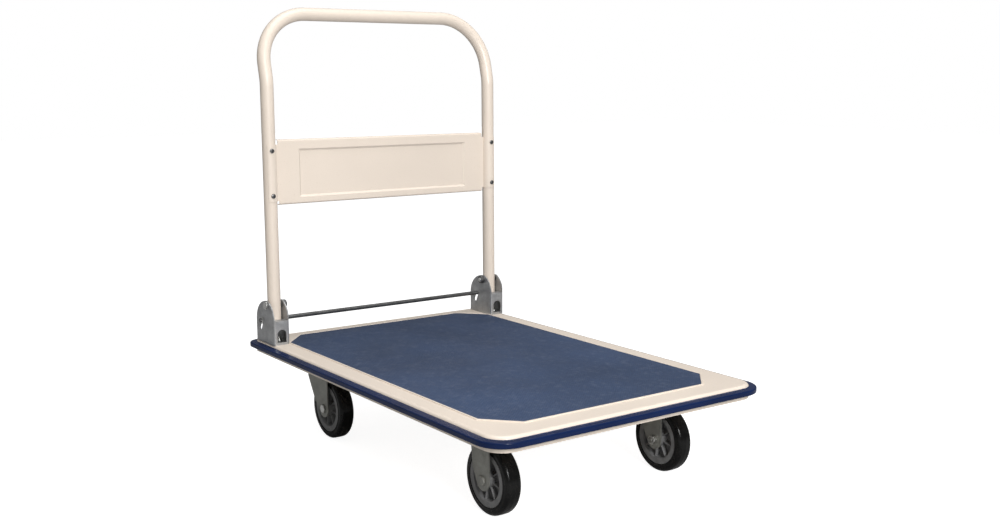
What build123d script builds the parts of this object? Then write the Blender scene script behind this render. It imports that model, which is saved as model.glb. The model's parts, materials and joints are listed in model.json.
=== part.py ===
from build123d import *
import math
import os

# Folding platform cart: a sprung foot bar locks a tubular handle upright over a sheet-steel deck.
# Millimetres. Origin on the floor under the middle of the deck outline; +X away from the handle,
# +Y to the left, +Z up.

# ---- overall sizes
DECK_LENGTH = 910.0            # along X, over the bumper
DECK_WIDTH = 610.0             # along Y, over the bumper
WHEEL_DIAMETER = 125.0
HANDLE_RISE = 689.0            # deck top to the top of the handle bar

# ---- deck sheet, bumper and mat
PAN_SHEET = 1.6
PAN_DEPTH = 26.0
PAN_EDGE_RADIUS = 7.0
FRONT_CORNER_RADIUS = 38.0
REAR_CORNER_RADIUS = 15.0
BUMPER_PROUD = 14.0            # how far the bumper stands out from the deck sheet
BUMPER_GLUE_GAP = 1.0          # deck sheet to the bumper's top inner edge
BUMPER_TOP_DROP = 4.5          # deck top down to the bumper's inner edge
BUMPER_SLOPE_FALL = 1.5
BUMPER_FACE = 10.0             # height of the upright outer face
BUMPER_ROUNDING = 2.5
MAT_THICKNESS = 1.2
MAT_REAR_MARGIN = 49.0         # deck outline to mat
MAT_FRONT_MARGIN = 66.0
MAT_CUT_X = 55.0               # corner cut, along X and along Y
MAT_CUT_Y = 51.0
BEAD_WIDTH = 4.0               # pressed ridge round the mat
BEAD_HEIGHT = 1.6
BEAD_ROUNDING = 0.75
MAT_GAP = 0.3                  # mat to ridge
BEAD_TO_BRACKET = 0.2

# ---- stiffening under the deck
CHANNEL_SHEET = 2.0
CHANNEL_DEPTH = 23.4
CHANNEL_WEB = 110.0
CHANNEL_LIP = 11.0
CHANNEL_END_GAP = 0.5          # past the round of the deck's edge
RAIL_WEB = 50.0
RAIL_DEPTH = 18.0
RAIL_INSET = 155.0             # deck side to the middle of a rail
RAIL_END_GAP = 1.0

# ---- handle brackets
BRACKET_LENGTH = 83.0
BRACKET_SIDE_GAP = 1.4         # tube to the inside of a cheek
BRACKET_HEIGHT = 89.0
ARCH_RISE = 44.0               # height of the rounded top, which peaks above the pivot
BRACKET_SHEET = 2.5
BRACKET_REAR_INSET = 28.0      # deck outline to the bracket's rear edge
BRACKET_SIDE_INSET = 32.0      # deck outline to the middle of the bracket
BRACKET_BEND_RADIUS = 4.0
STOP_HEIGHT = 50.0             # top of the front web, above the deck
STOP_GAP = 0.4                 # front web's lip to the upright tube
WINDOW_WIDTH = 20.0            # arched hole in the front web
WINDOW_BOTTOM = 5.0
WINDOW_TOP = 32.0
PIVOT_FROM_REAR = 50.0         # bracket's rear edge to the handle pivot
PIVOT_ABOVE_DECK = 79.5
BRACKET_BOLTS_FROM_REAR = (35.0, 67.0)

# ---- handle
TUBE_DIAMETER = 27.2
TUBE_WALL = 1.6
TUBE_BELOW_PIVOT = 32.0
HANDLE_LEAN = 0.6              # degrees back from upright, pivot to kink
HANDLE_KINK = 13.4             # degrees further back above the kink
KINK_BELOW_BAR = 137.0         # along the upright's direction
KINK_RADIUS = 80.0
CORNER_RADIUS = 105.0
PLUG_FLANGE = 2.0
PLUG_LENGTH = 14.0
PLUG_CLEARANCE = 0.1

# ---- panel between the handle tubes
PANEL_SHEET = 1.2
PANEL_BELOW_KINK = 118.5
PANEL_HEIGHT = 134.0
PANEL_FACE = 2.0               # front face ahead of the tube axis
PANEL_FLANGE = 12.0
PANEL_BEND_RADIUS = 4.0
PANEL_WRAP = 38.0              # degrees past straight ahead that the tabs reach
TAB_FAN_STEPS = 4              # straight sides of the fan that trims a tab from a ring
TAB_BOTTOM_INSET = 8.0
TAB_TOP_INSET = 10.0
TAB_OVERLAP = 0.3              # flat sheet into the tab's curve, where the two run together
RECESS_SIDE_MARGIN = 51.0      # flat border beside the recess, from the tab bend
RECESS_BOTTOM_MARGIN = 14.0
RECESS_HEIGHT = 100.0
RECESS_DEPTH = 3.0
RECESS_BEVEL = 4.0
SCREW_ABOVE_TAB_BOTTOM = 12.0
SCREW_PITCH = 92.0
SCREW_RADIUS = 2.5
SCREW_HEAD_RADIUS = 4.75
SCREW_HEAD = 2.6
SCREW_ROUNDING = 1.3
SCREW_LENGTH = 9.0

# ---- foot-operated lock bar
LOCK_BAR_DIAMETER = 9.0
LOCK_BAR_TRAVEL = 18.0
LOCK_SWEEP_GAP = 0.5           # bar to the path of the tube's lower end
LOCK_BAR_BEHIND_PIVOT = 23.0
LOCK_SLOT_ANGLE = 24.3         # degrees back from straight down
LOCK_SLOT_CLEARANCE = 0.35
LOCK_BAR_OVERHANG = 6.0        # bar end past the outer cheek
LOCK_BAR_CHAMFER = 1.0
CLIP_RADIUS = 7.5
CLIP_THICKNESS = 1.5
CLIP_GAP = 0.4
SPRING_WIRE = 1.4
SPRING_RADIUS = 4.6            # to the middle of the wire
SPRING_TURNS = 7
SPRING_GAP = 0.4

# ---- fasteners: shank radius, head or nut across flats, head height, nut height
M8 = (4.0, 13.0, 5.3, 6.5)
M10 = (5.0, 16.0, 4.0, 8.0)
HOLE_CLEARANCE = 0.25
NUT_CLEARANCE = 0.1
BRACKET_BOLT_PROUD = 16.0      # above the deck
THREAD_PAST_NUT = 2.0
FIT = 0.08                     # radial running clearance
BUSH_WALL = 2.4
BUSH_END_GAP = 0.4

# ---- casters and wheels
TREAD_WIDTH = 32.0
TREAD_SHOULDER = 8.0
TYRE_THICKNESS = 14.5
RIM_THICKNESS = 12.0
RIM_RECESS = 1.0               # rim's side face in from the tyre's
RIB_RECESS = 4.0
RIB_THICKNESS = 2.4
HUB_RIBS = 10
HUB_WEB = 5.0
HUB_BOSS_WALL = 4.0
BEARING_WALL = 2.92
AXLE_SLEEVE_WALL = 1.9
TREAD_SIDE_GAP = 4.0           # tyre to fork leg
FORK_SHEET = 2.5
FORK_HEADROOM = 17.0           # tyre to the underside of the crown
HUB_SIDE_GAP = 1.0
PLATE_LENGTH = 105.0
PLATE_WIDTH = 80.0
PLATE_SHEET = 3.0
PLATE_CORNER_RADIUS = 8.0
MOUNT_PITCH_X = 80.0
MOUNT_PITCH_Y = 60.0
FRONT_AXLE_INSET = 157.5       # deck front to the fixed axle
FRONT_WHEEL_INSET = 110.0      # deck side to the wheel's middle
RIGID_PLATE_OFFSET = 10.0      # plate middle behind the fixed axle
FORK_TIP_RADIUS = 18.0
RIGID_LEG_TOP = 28.0           # half width of a fixed leg at the plate
RIGID_LEG_TAPER = 9.0          # how far its rear edge runs in on the way down
SWIVEL_INSET = 175.0           # deck rear to the swivel axis
REAR_WHEEL_INSET = 97.0
SWIVEL_OFFSET = 32.0           # wheel axle ahead of the swivel axis
SWIVEL_LEG_REAR = 36.0         # swivel axis to the leg's rear edge, at the crown
SWIVEL_LEG_FRONT = 46.0        # swivel axis to the leg's front edge, at the crown
SWIVEL_LEG_STRAIGHT = 26.0     # height of the rear edge's near-upright part
SWIVEL_LEG_LEAN = 2.0          # how far that part runs in
SWIVEL_LEG_LOW = (8.0, 15.0)   # rear edge's low corner: behind the swivel axis, above the axle
CROWN_RADIUS = 38.0
CROWN_SHEET = 3.0
RACE_HEIGHT = 7.0
RACE_INNER_RADIUS = 20.0
RACE_OUTER_RADIUS = 34.0
RACE_GAP = 0.4
DISH_RADIUS = 37.0
DISH_DEPTH = 3.0
KINGPIN_RADIUS = 6.0
KINGPIN_HEAD_RADIUS = 10.0
KINGPIN_HEAD = 6.0

TINY = 0.01                    # half height of the slice that picks edges at one level

# ---- derived heights
WHEEL_RADIUS = WHEEL_DIAMETER / 2
CROWN_TOP = WHEEL_DIAMETER + FORK_HEADROOM + CROWN_SHEET
PLATE_UNDERSIDE = CROWN_TOP + RACE_HEIGHT + DISH_DEPTH
CASTER_HEIGHT = PLATE_UNDERSIDE + PLATE_SHEET
PAN_UNDERSIDE = CASTER_HEIGHT + CHANNEL_DEPTH
DECK_HEIGHT = PAN_UNDERSIDE + PAN_SHEET
HANDLE_HEIGHT = DECK_HEIGHT + HANDLE_RISE

# ---- derived sizes and places
PAN_LENGTH = DECK_LENGTH - 2 * BUMPER_PROUD
PAN_WIDTH = DECK_WIDTH - 2 * BUMPER_PROUD
MAT_LENGTH = DECK_LENGTH - MAT_REAR_MARGIN - MAT_FRONT_MARGIN
MAT_X = (MAT_REAR_MARGIN - MAT_FRONT_MARGIN) / 2
BRACKET_REAR = BRACKET_REAR_INSET - DECK_LENGTH / 2
BRACKET_FRONT = BRACKET_REAR + BRACKET_LENGTH
BRACKET_Y = DECK_WIDTH / 2 - BRACKET_SIDE_INSET
BRACKET_INSIDE = TUBE_DIAMETER + 2 * BRACKET_SIDE_GAP
BRACKET_WIDTH = BRACKET_INSIDE + 2 * BRACKET_SHEET
MAT_WIDTH = 2 * (BRACKET_Y - BEAD_TO_BRACKET - BEAD_WIDTH - MAT_GAP) - BRACKET_WIDTH
PIVOT_X = BRACKET_REAR + PIVOT_FROM_REAR
PIVOT_Z = DECK_HEIGHT + PIVOT_ABOVE_DECK
TUBE_RADIUS = TUBE_DIAMETER / 2
TAB_RADIUS = TUBE_RADIUS + PANEL_SHEET
LOCK_BAR_RADIUS = LOCK_BAR_DIAMETER / 2
BUSH_RADIUS = M10[0] + FIT + BUSH_WALL
HUB_RADIUS = WHEEL_RADIUS - TYRE_THICKNESS
RIM_RADIUS = HUB_RADIUS - RIM_THICKNESS
HUB_WIDTH = TREAD_WIDTH - 2 * RIM_RECESS
RIB_WIDTH = TREAD_WIDTH - 2 * RIB_RECESS
AXLE_SLEEVE_BORE = M10[0] + NUT_CLEARANCE
AXLE_SLEEVE_RADIUS = AXLE_SLEEVE_BORE + AXLE_SLEEVE_WALL
BEARING_BORE = AXLE_SLEEVE_RADIUS + FIT
BEARING_RADIUS = BEARING_BORE + BEARING_WALL
HUB_BOSS_RADIUS = BEARING_RADIUS + HUB_BOSS_WALL
FORK_GAP = TREAD_WIDTH + 2 * TREAD_SIDE_GAP
FRONT_AXLE_X = DECK_LENGTH / 2 - FRONT_AXLE_INSET
FRONT_WHEEL_Y = DECK_WIDTH / 2 - FRONT_WHEEL_INSET
FRONT_PLATE_X = FRONT_AXLE_X - RIGID_PLATE_OFFSET
SWIVEL_X = SWIVEL_INSET - DECK_LENGTH / 2
REAR_WHEEL_Y = DECK_WIDTH / 2 - REAR_WHEEL_INSET
REAR_AXLE_X = SWIVEL_X + SWIVEL_OFFSET
RAIL_Y = DECK_WIDTH / 2 - RAIL_INSET


def handle_places():
    """Kink height, bar position and panel bottom, about the pivot in the handle's own frame."""
    lean = math.radians(HANDLE_LEAN)
    slope = math.radians(HANDLE_KINK)
    bar_drop_back = KINK_BELOW_BAR * math.tan(slope)
    bar_rise = HANDLE_HEIGHT - TUBE_RADIUS - PIVOT_Z
    bar_z = (bar_rise + bar_drop_back * math.sin(lean)) / math.cos(lean)
    kink_z = bar_z - KINK_BELOW_BAR
    panel_bottom = kink_z - PANEL_BELOW_KINK - PANEL_HEIGHT
    return kink_z, -bar_drop_back, bar_z, panel_bottom


def lock_bar_rest():
    """Lock bar's axis at rest: just outside the circle that the tube's lower corner sweeps."""
    sweep = math.hypot(TUBE_RADIUS, TUBE_BELOW_PIVOT + PLUG_FLANGE)
    reach = sweep + LOCK_SWEEP_GAP + LOCK_BAR_RADIUS
    drop = math.sqrt(reach**2 - LOCK_BAR_BEHIND_PIVOT**2)
    return PIVOT_X - LOCK_BAR_BEHIND_PIVOT, PIVOT_Z - drop


KINK_Z, BAR_X, BAR_Z, PANEL_BOTTOM = handle_places()
LOCK_BAR_X, LOCK_BAR_Z = lock_bar_rest()
SLOT_DOWN = (-math.sin(math.radians(LOCK_SLOT_ANGLE)), -math.cos(math.radians(LOCK_SLOT_ANGLE)))


# ---- shared shapes
def rod(start, direction, radius, length):
    """Round bar from a point along a direction."""
    return extrude(Plane(origin=start, z_dir=direction) * Circle(radius), amount=length)


def sleeve(start, direction, outer_radius, inner_radius, length):
    """Plain tube from a point along a direction."""
    ring = Circle(outer_radius) - Circle(inner_radius)
    return extrude(Plane(origin=start, z_dir=direction) * ring, amount=length)


def hexagon(start, direction, across_flats, height):
    """Hexagonal prism from a point along a direction."""
    outline = RegularPolygon(across_flats / 2, 6, major_radius=False)
    return extrude(Plane(origin=start, z_dir=direction) * outline, amount=height)


def block(x_range, y_range, z_range):
    """Rectangular block between pairs of limits."""
    size = [high - low for low, high in (x_range, y_range, z_range)]
    middle = [(high + low) / 2 for low, high in (x_range, y_range, z_range)]
    return Pos(*middle) * Box(*size)


def upright_profile(outline, y_middle, width):
    """Extrude an outline drawn in X and Z evenly either side of a Y position."""
    plane = Plane(origin=(0, y_middle + width / 2, 0), x_dir=(1, 0, 0), z_dir=(0, -1, 0))
    return extrude(plane * outline, amount=width)


def bolt(head_face, direction, size, length):
    """Hexagon-head bolt: the head stands behind the face, the shank runs along the direction."""
    radius, across_flats, head, _ = size
    back = Vector(*head_face) - Vector(*direction) * head
    return hexagon(back, direction, across_flats, head) + rod(head_face, direction, radius, length)


def nut(face, direction, size):
    """Hexagon nut on a face, with its bore clear of the shank."""
    radius, across_flats, _, height = size
    body = hexagon(face, direction, across_flats, height)
    return body - rod(face, direction, radius + NUT_CLEARANCE, height)


def left_of(shape):
    """The same piece on the left-hand side."""
    return mirror(shape, Plane.XZ)


def both_sides(shape):
    """A right-hand piece and its left-hand twin, as separate solids."""
    return Compound(children=[*shape.solids(), *left_of(shape).solids()])


# ---- deck
def mat_outline():
    x, y = MAT_LENGTH / 2, MAT_WIDTH / 2
    corners = [
        (x, y - MAT_CUT_Y), (x - MAT_CUT_X, y), (MAT_CUT_X - x, y), (-x, y - MAT_CUT_Y),
        (-x, MAT_CUT_Y - y), (MAT_CUT_X - x, -y), (x - MAT_CUT_X, -y), (x, MAT_CUT_Y - y),
    ]
    return Pos(MAT_X, 0, DECK_HEIGHT) * Polygon(*corners, align=None)


def deck_mat():
    return extrude(mat_outline(), MAT_THICKNESS)


def mat_bead():
    inner = offset(mat_outline(), MAT_GAP, kind=Kind.INTERSECTION)
    outer = offset(mat_outline(), MAT_GAP + BEAD_WIDTH, kind=Kind.INTERSECTION)
    bead = extrude(outer - inner, BEAD_HEIGHT)
    return fillet(bead.faces().sort_by(Axis.Z)[-1].edges(), BEAD_ROUNDING)


def rim_outline(grow):
    """Deck sheet's outline grown by a distance: wide corners at the front, tighter ones at the back."""
    plain = Rectangle(PAN_LENGTH + 2 * grow, PAN_WIDTH + 2 * grow)
    ends = plain.vertices().group_by(Axis.X)
    rounded = fillet(ends[-1], FRONT_CORNER_RADIUS + grow)
    return fillet(rounded.vertices().group_by(Axis.X)[0], REAR_CORNER_RADIUS + grow)


def pan_block(inset, height, edge_radius):
    """Solid block of the deck sheet's outline, drawn in by an inset, with a rounded top edge."""
    solid = Pos(0, 0, DECK_HEIGHT - PAN_DEPTH) * extrude(rim_outline(-inset), height)
    return fillet(solid.faces().sort_by(Axis.Z)[-1].edges(), edge_radius)


def bracket_bolt_places():
    return [(BRACKET_REAR + x, -BRACKET_Y) for x in BRACKET_BOLTS_FROM_REAR]


def deck_pan():
    pan = pan_block(0, PAN_DEPTH, PAN_EDGE_RADIUS)
    pan -= pan_block(PAN_SHEET, PAN_DEPTH - PAN_SHEET, PAN_EDGE_RADIUS - PAN_SHEET)
    pan += mat_bead()
    for x, y in bracket_bolt_places():
        for side in (y, -y):
            pan -= rod((x, side, PAN_UNDERSIDE), (0, 0, 1), M8[0] + HOLE_CLEARANCE, PAN_SHEET)
    return pan


def bumper_strip():
    top = DECK_HEIGHT - BUMPER_TOP_DROP
    edge = top - BUMPER_SLOPE_FALL
    bottom = edge - BUMPER_FACE
    wide = rim_outline(BUMPER_PROUD)
    narrow = rim_outline(BUMPER_GLUE_GAP)
    strip = Pos(0, 0, bottom) * extrude(wide, BUMPER_FACE)
    strip += loft([Pos(0, 0, edge) * wide, Pos(0, 0, top) * narrow])
    levels = strip.edges().group_by(Axis.Z)
    lower_edges = levels[0]
    middle_edges = strip.edges().filter_by_position(Axis.Z, edge - TINY, edge + TINY)
    strip = fillet(lower_edges + middle_edges, BUMPER_ROUNDING)
    return strip - Pos(0, 0, bottom) * extrude(rim_outline(0), top - bottom)


def hat_section(web, depth, length):
    """Hat-shaped channel along Y, hanging from the underside of the deck sheet, web at the bottom."""
    half = length / 2
    low = PAN_UNDERSIDE - depth
    lip = web / 2 + CHANNEL_LIP
    hat = block((-web / 2, web / 2), (-half, half), (low, PAN_UNDERSIDE))
    hat += block((-lip, lip), (-half, half), (PAN_UNDERSIDE - CHANNEL_SHEET, PAN_UNDERSIDE))
    inside = web / 2 - CHANNEL_SHEET
    return hat - block((-inside, inside), (-half, half), (low + CHANNEL_SHEET, PAN_UNDERSIDE))


def mount_places(x_middle, y_middle):
    """The four bolt places of one caster plate."""
    return [
        (x_middle + x, y_middle + y)
        for x in (-MOUNT_PITCH_X / 2, MOUNT_PITCH_X / 2)
        for y in (-MOUNT_PITCH_Y / 2, MOUNT_PITCH_Y / 2)
    ]


def cross_channel(x_middle, wheel_y):
    length = PAN_WIDTH - 2 * PAN_EDGE_RADIUS - 2 * CHANNEL_END_GAP
    channel = Pos(x_middle, 0, 0) * hat_section(CHANNEL_WEB, CHANNEL_DEPTH, length)
    for side in (-wheel_y, wheel_y):
        for x, y in mount_places(x_middle, side):
            channel -= rod((x, y, CASTER_HEIGHT), (0, 0, 1), M8[0] + HOLE_CLEARANCE, CHANNEL_SHEET)
    return channel


def side_rail(y_middle):
    reach = CHANNEL_WEB / 2 + CHANNEL_LIP + RAIL_END_GAP
    start = SWIVEL_X + reach
    end = FRONT_PLATE_X - reach
    rail = Rot(0, 0, 90) * hat_section(RAIL_WEB, RAIL_DEPTH, end - start)
    return Pos((start + end) / 2, y_middle, 0) * rail


# ---- handle brackets
def slot_outline():
    """Outline of the lock bar's slanting slot, in X and Z."""
    radius = LOCK_BAR_RADIUS + LOCK_SLOT_CLEARANCE
    middle_x = LOCK_BAR_X + SLOT_DOWN[0] * LOCK_BAR_TRAVEL / 2
    middle_z = LOCK_BAR_Z + SLOT_DOWN[1] * LOCK_BAR_TRAVEL / 2
    slot = SlotCenterToCenter(LOCK_BAR_TRAVEL, 2 * radius)
    return Pos(middle_x, middle_z) * Rot(0, 0, 90 - LOCK_SLOT_ANGLE) * slot


def window_cutter():
    """Arched hole through the front web."""
    radius = WINDOW_WIDTH / 2
    spring_line = DECK_HEIGHT + WINDOW_TOP - radius
    base = DECK_HEIGHT + WINDOW_BOTTOM
    start = BRACKET_FRONT - 2 * BRACKET_BEND_RADIUS
    sides = (-BRACKET_Y - radius, -BRACKET_Y + radius)
    cutter = block((start, BRACKET_FRONT), sides, (base, spring_line))
    return cutter + rod((start, -BRACKET_Y, spring_line), (1, 0, 0), radius, BRACKET_FRONT - start)


def bracket_plan(inset, front):
    """Plan outline of the bracket, drawn in by an inset, with its two front corners rounded."""
    half = BRACKET_WIDTH / 2 - inset
    length = BRACKET_LENGTH + BRACKET_WIDTH
    middle = front - length / 2
    return Pos(middle, -BRACKET_Y) * RectangleRounded(length, 2 * half, BRACKET_BEND_RADIUS - inset)


def cheek_outline():
    """Side view of a cheek: a box with a lopsided arch whose peak stands over the pivot."""
    shoulder = BRACKET_HEIGHT - ARCH_RISE
    middle = BRACKET_REAR + BRACKET_LENGTH / 2
    outline = Pos(middle, DECK_HEIGHT + shoulder / 2) * Rectangle(BRACKET_LENGTH, shoulder)
    for side, reach in ((-1, PIVOT_FROM_REAR), (1, BRACKET_LENGTH - PIVOT_FROM_REAR)):
        corner = Pos(side * reach / 2, ARCH_RISE / 2) * Rectangle(reach, ARCH_RISE)
        outline += Pos(PIVOT_X, DECK_HEIGHT + shoulder) * (Ellipse(reach, ARCH_RISE) & corner)
    return outline


def right_bracket():
    """Pressed U bracket: two cheeks, a base and a front web whose lip stops the tube."""
    bracket = upright_profile(cheek_outline(), -BRACKET_Y, BRACKET_WIDTH)
    bracket &= Pos(0, 0, DECK_HEIGHT) * extrude(bracket_plan(0, BRACKET_FRONT), BRACKET_HEIGHT)
    web_back = BRACKET_FRONT - BRACKET_SHEET
    hollow = extrude(bracket_plan(BRACKET_SHEET, web_back), BRACKET_HEIGHT)
    bracket -= Pos(0, 0, DECK_HEIGHT + BRACKET_SHEET) * hollow
    inside = (-BRACKET_Y - BRACKET_INSIDE / 2, -BRACKET_Y + BRACKET_INSIDE / 2)
    stop_top = DECK_HEIGHT + STOP_HEIGHT
    bracket -= block((PIVOT_X, BRACKET_FRONT), inside, (stop_top, DECK_HEIGHT + BRACKET_HEIGHT))
    lean = math.tan(math.radians(HANDLE_LEAN)) * (PIVOT_Z - stop_top + BRACKET_SHEET)
    lip_end = PIVOT_X + TUBE_RADIUS / math.cos(math.radians(HANDLE_LEAN)) + lean + STOP_GAP
    bracket += block((lip_end, web_back), inside, (stop_top - BRACKET_SHEET, stop_top))
    bracket -= upright_profile(slot_outline(), -BRACKET_Y, BRACKET_WIDTH)
    bracket -= window_cutter()
    outer_face = (PIVOT_X, -BRACKET_Y - BRACKET_WIDTH / 2, PIVOT_Z)
    bracket -= rod(outer_face, (0, 1, 0), M10[0] + HOLE_CLEARANCE, BRACKET_WIDTH)
    for x, y in bracket_bolt_places():
        bracket -= rod((x, y, DECK_HEIGHT), (0, 0, 1), M8[0] + HOLE_CLEARANCE, BRACKET_SHEET)
    return bracket


def bracket_bolts():
    length = PAN_SHEET + BRACKET_BOLT_PROUD
    bolts = [bolt((x, y, PAN_UNDERSIDE), (0, 0, 1), M8, length) for x, y in bracket_bolt_places()]
    return both_sides(Compound(children=bolts))


def bracket_nuts():
    seat = DECK_HEIGHT + BRACKET_SHEET
    nuts = [nut((x, y, seat), (0, 0, 1), M8) for x, y in bracket_bolt_places()]
    return both_sides(Compound(children=nuts))


def pivot_bolts():
    head_face = (PIVOT_X, -BRACKET_Y - BRACKET_WIDTH / 2, PIVOT_Z)
    length = BRACKET_WIDTH + M10[3] + THREAD_PAST_NUT
    return both_sides(bolt(head_face, (0, 1, 0), M10, length))


def pivot_nuts():
    face = (PIVOT_X, -BRACKET_Y + BRACKET_WIDTH / 2, PIVOT_Z)
    return both_sides(nut(face, (0, 1, 0), M10))


# ---- lock bar and springs
def lock_bar():
    end = BRACKET_Y + BRACKET_WIDTH / 2 + LOCK_BAR_OVERHANG
    bar = rod((LOCK_BAR_X, -end, LOCK_BAR_Z), (0, 1, 0), LOCK_BAR_RADIUS, 2 * end)
    return chamfer(bar.edges().filter_by(GeomType.CIRCLE), LOCK_BAR_CHAMFER)


def lock_bar_clips():
    start = (LOCK_BAR_X, -BRACKET_Y - BRACKET_WIDTH / 2 - CLIP_GAP, LOCK_BAR_Z)
    return both_sides(sleeve(start, (0, -1, 0), CLIP_RADIUS, LOCK_BAR_RADIUS, CLIP_THICKNESS))


def right_lock_spring():
    """Coil spring along the slot, from the bracket's base up to the lock bar."""
    wire = SPRING_WIRE / 2
    outer = SPRING_RADIUS + wire
    tilt = math.radians(LOCK_SLOT_ANGLE)
    seat = DECK_HEIGHT + BRACKET_SHEET + outer * math.sin(tilt) + wire + SPRING_GAP
    top_reach = LOCK_BAR_RADIUS + wire + SPRING_GAP
    length = (LOCK_BAR_Z - seat) / math.cos(tilt) - top_reach
    foot_x = LOCK_BAR_X + SLOT_DOWN[0] * (length + top_reach)
    upward = (-SLOT_DOWN[0], 0, -SLOT_DOWN[1])
    path = Helix(pitch=length / SPRING_TURNS, height=length, radius=SPRING_RADIUS)
    section = Plane(origin=path @ 0, z_dir=path % 0) * Circle(wire)
    coil = sweep(section, path=path)
    return Plane(origin=(foot_x, -BRACKET_Y, seat), z_dir=upward).location * coil


# ---- handle, drawn about the pivot with the tubes upright
def place_handle(shape):
    """From the handle's own frame to its place, leaning back."""
    return Pos(PIVOT_X, 0, PIVOT_Z) * Rot(0, -HANDLE_LEAN, 0) * shape


def handle_path():
    """Centre line of the bent tube, from one lower end round to the other."""
    right = [(0, -BRACKET_Y, -TUBE_BELOW_PIVOT), (0, -BRACKET_Y, KINK_Z), (BAR_X, -BRACKET_Y, BAR_Z)]
    left = [(x, -y, z) for x, y, z in reversed(right)]
    return FilletPolyline(*right, *left, radius=[KINK_RADIUS, CORNER_RADIUS, CORNER_RADIUS, KINK_RADIUS])


def screw_places():
    """Panel screw places on the right-hand tube, in the handle's own frame."""
    low = PANEL_BOTTOM + TAB_BOTTOM_INSET + SCREW_ABOVE_TAB_BOTTOM
    return [(-BRACKET_Y, low), (-BRACKET_Y, low + SCREW_PITCH)]


def handle_tube():
    path = handle_path()
    ring = Circle(TUBE_RADIUS) - Circle(TUBE_RADIUS - TUBE_WALL)
    tube = sweep(Plane(origin=path @ 0, z_dir=path % 0) * ring, path=path)
    for side in (-BRACKET_Y, BRACKET_Y):
        tube -= rod((0, side - TUBE_DIAMETER, 0), (0, 1, 0), BUSH_RADIUS, 2 * TUBE_DIAMETER)
    for y, z in screw_places():
        for side in (y, -y):
            tube -= rod((0, side, z), (1, 0, 0), SCREW_RADIUS + NUT_CLEARANCE, TUBE_DIAMETER)
    return place_handle(tube)


def handle_end_plugs():
    """Plastic plugs that close the tube's lower ends."""
    end = (0, -BRACKET_Y, -TUBE_BELOW_PIVOT)
    plug = rod(end, (0, 0, -1), TUBE_RADIUS, PLUG_FLANGE)
    plug += rod(end, (0, 0, 1), TUBE_RADIUS - TUBE_WALL - PLUG_CLEARANCE, PLUG_LENGTH)
    return place_handle(both_sides(plug))


def pivot_bushes():
    start = (0, -BRACKET_Y - BRACKET_INSIDE / 2 + BUSH_END_GAP, 0)
    length = BRACKET_INSIDE - 2 * BUSH_END_GAP
    return place_handle(both_sides(sleeve(start, (0, 1, 0), BUSH_RADIUS, M10[0] + FIT, length)))


def tab_wrap():
    """Sheet that turns forward from the panel's edge and wraps round the right-hand tube."""
    bottom = PANEL_BOTTOM + TAB_BOTTOM_INSET
    height = PANEL_HEIGHT - TAB_BOTTOM_INSET - TAB_TOP_INSET
    inner_side = math.degrees(math.acos((PANEL_FACE - PANEL_SHEET) / TAB_RADIUS))
    ring = Circle(TAB_RADIUS) - Circle(TUBE_RADIUS)
    reach = 2 * TAB_RADIUS
    fan = [(0, 0)]
    for step in range(TAB_FAN_STEPS + 1):
        angle = math.radians(inner_side - step * (inner_side + PANEL_WRAP) / TAB_FAN_STEPS)
        fan.append((reach * math.cos(angle), reach * math.sin(angle)))
    tab = extrude(ring & Polygon(*fan, align=None), height)
    return Pos(0, -BRACKET_Y, bottom) * tab


def pressed_block(x_front, x_back, y_front, z_front, taper):
    """Block with drafted sides, narrower at its back, centred on the panel's recess."""
    middle = PANEL_BOTTOM + RECESS_BOTTOM_MARGIN + RECESS_HEIGHT / 2
    front = Plane(origin=(x_front, 0, middle), x_dir=(0, 1, 0), z_dir=(-1, 0, 0))
    back = Plane(origin=(x_back, 0, middle), x_dir=(0, 1, 0), z_dir=(-1, 0, 0))
    return loft([
        front * Rectangle(y_front, z_front),
        back * Rectangle(y_front - 2 * taper, z_front - 2 * taper),
    ])


def handle_panel():
    half = BRACKET_Y - TAB_RADIUS
    back = PANEL_FACE - PANEL_SHEET
    top = PANEL_BOTTOM + PANEL_HEIGHT
    flange_back = PANEL_FACE - PANEL_FLANGE
    flange_half = half - PANEL_BEND_RADIUS
    solid = block((flange_back, PANEL_FACE), (-flange_half, flange_half), (PANEL_BOTTOM, top))
    front_edges = solid.edges().filter_by(Axis.Y).group_by(Axis.X)[-1]
    solid = fillet(front_edges, PANEL_BEND_RADIUS)
    hollow = block(
        (flange_back, back), (-flange_half, flange_half), (PANEL_BOTTOM + PANEL_SHEET, top - PANEL_SHEET)
    )
    hollow = fillet(hollow.edges().filter_by(Axis.Y).group_by(Axis.X)[-1], PANEL_BEND_RADIUS - PANEL_SHEET)
    panel = solid - hollow
    tab_bottom = PANEL_BOTTOM + TAB_BOTTOM_INSET
    tab_half = half + TAB_OVERLAP
    panel += block((back, PANEL_FACE), (-tab_half, tab_half), (tab_bottom, top - TAB_TOP_INSET))
    width = 2 * (half - RECESS_SIDE_MARGIN)
    grow = 2 * PANEL_SHEET
    panel += pressed_block(back, back - RECESS_DEPTH, width + grow, RECESS_HEIGHT + grow, RECESS_BEVEL)
    panel -= pressed_block(PANEL_FACE, PANEL_FACE - RECESS_DEPTH, width, RECESS_HEIGHT, RECESS_BEVEL)
    panel += tab_wrap()
    panel += left_of(tab_wrap())
    for y, z in screw_places():
        for side in (y, -y):
            panel -= rod((0, side, z), (1, 0, 0), SCREW_RADIUS + NUT_CLEARANCE, TUBE_DIAMETER)
    return place_handle(panel)


def panel_screws():
    screws = []
    for y, z in screw_places():
        head = rod((TAB_RADIUS, y, z), (1, 0, 0), SCREW_HEAD_RADIUS, SCREW_HEAD)
        head = fillet(head.edges().group_by(Axis.X)[-1], SCREW_ROUNDING)
        screws.append(head + rod((TAB_RADIUS, y, z), (-1, 0, 0), SCREW_RADIUS, SCREW_LENGTH))
    return place_handle(both_sides(Compound(children=screws)))


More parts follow.
